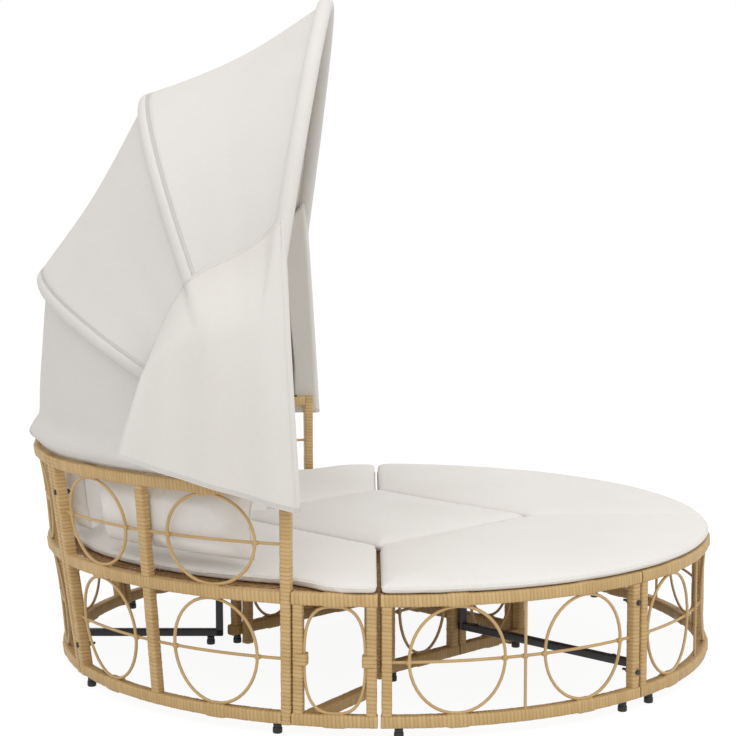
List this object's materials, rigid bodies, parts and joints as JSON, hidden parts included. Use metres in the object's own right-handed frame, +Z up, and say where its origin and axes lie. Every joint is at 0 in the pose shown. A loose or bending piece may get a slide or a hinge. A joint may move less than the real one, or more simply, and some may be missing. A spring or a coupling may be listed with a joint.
{
  "type": "outdoor daybed with canopy",
  "caption": "Round outdoor daybed in wrapped-cane frames: a sofa with folding hooped canopy, two sliding quarter seats and a square centre seat.",
  "frame": {"origin": "on the floor, under the middle of the whole daybed", "axes": "+X to the foot end, +Y to the far side, +Z up"},
  "size_m": [1.8816, 1.836, 1.8029],
  "materials": {
    "rattan": "flat strap of ochre synthetic cane, wrapped round steel tube",
    "deck_weave": "brown synthetic cane strap, plain woven",
    "cushion_cloth": "off-white outdoor canvas with piped seams",
    "canopy_cloth": "off-white canopy canvas",
    "drape_cloth": "lighter canvas of the side drapes",
    "black_steel": "black powder coat",
    "black_plastic": "black moulded foot"
  },
  "bodies": {
    "sofa": {"sofa_side_panel_near": "rattan", "sofa_corner_panel_near": "rattan", "sofa_foot_arm_near": "black_plastic", "sofa_foot_corner_near": "black_plastic", "side_pillow_near": "cushion_cloth", "rear_pillow_near": "cushion_cloth", "canopy_bracket_near": "black_steel", "pivot_bolt_near": "black_steel", "side_drape_near": "drape_cloth", "sofa_side_panel_far": "rattan", "sofa_corner_panel_far": "rattan", "sofa_foot_arm_far": "black_plastic", "sofa_foot_corner_far": "black_plastic", "side_pillow_far": "cushion_cloth", "rear_pillow_far": "cushion_cloth", "canopy_bracket_far": "black_steel", "pivot_bolt_far": "black_steel", "side_drape_far": "drape_cloth", "sofa_rear_panel": "rattan", "sofa_inner_panel": "rattan", "sofa_deck": "deck_weave", "sofa_brace": "black_steel", "sofa_cushion": "cushion_cloth", "centre_frame": "deck_weave", "centre_cushion": "cushion_cloth", "sofa_foot_notch": "black_plastic", "sofa_foot_brace": "black_plastic"},
    "front_seat_near": {"front_rim_panel_foot_near": "rattan", "front_rim_panel_side_near": "rattan", "front_inner_panel_side_near": "rattan", "front_inner_panel_foot_near": "rattan", "front_deck_near": "deck_weave", "front_brace_near": "black_steel", "front_cushion_near": "cushion_cloth", "front_foot_seam_near": "black_plastic", "front_foot_joint_side_near": "black_plastic", "front_foot_joint_foot_near": "black_plastic", "front_foot_inner_side_near": "black_plastic", "front_foot_inner_tip_near": "black_plastic"},
    "front_seat_far": {"front_rim_panel_foot_far": "rattan", "front_rim_panel_side_far": "rattan", "front_inner_panel_side_far": "rattan", "front_inner_panel_foot_far": "rattan", "front_deck_far": "deck_weave", "front_brace_far": "black_steel", "front_cushion_far": "cushion_cloth", "front_foot_seam_far": "black_plastic", "front_foot_joint_side_far": "black_plastic", "front_foot_joint_foot_far": "black_plastic", "front_foot_inner_side_far": "black_plastic", "front_foot_inner_tip_far": "black_plastic"},
    "hoop_rear": {"hoop_rear": "black_steel", "sleeve_rear": "canopy_cloth", "rear_gore": "canopy_cloth"},
    "hoop_middle": {"hoop_middle": "black_steel", "sleeve_middle": "canopy_cloth", "middle_gore": "canopy_cloth"},
    "hoop_front": {"hoop_front": "black_steel", "sleeve_front": "canopy_cloth", "front_gore": "canopy_cloth"}
  },
  "joints": [
    {"name": "canopy_rear_swing", "type": "hinge", "parent": "sofa", "child": "hoop_rear", "pos_m": [-0.28271, 0, 0.709], "axis": [0, -1, 0], "range_deg": [0, 30], "deforming": ["rear_gore"]},
    {"name": "canopy_middle_swing", "type": "hinge", "parent": "hoop_rear", "child": "hoop_middle", "pos_m": [-0.28271, 0, 0.709], "axis": [0, -1, 0], "range_deg": [0, 33], "deforming": ["middle_gore"]},
    {"name": "canopy_front_swing", "type": "hinge", "parent": "hoop_middle", "child": "hoop_front", "pos_m": [-0.28271, 0, 0.709], "axis": [0, -1, 0], "range_deg": [0, 25], "deforming": ["front_gore", "side_drape_near", "side_drape_far"]},
    {"name": "front_seat_near_slide", "type": "slide", "parent": "sofa", "child": "front_seat_near", "axis": [0.7071, -0.7071, 0], "range_m": [0, 0.4]},
    {"name": "front_seat_far_slide", "type": "slide", "parent": "sofa", "child": "front_seat_far", "axis": [0.7071, 0.7071, 0], "range_m": [0, 0.4]}
  ]
}
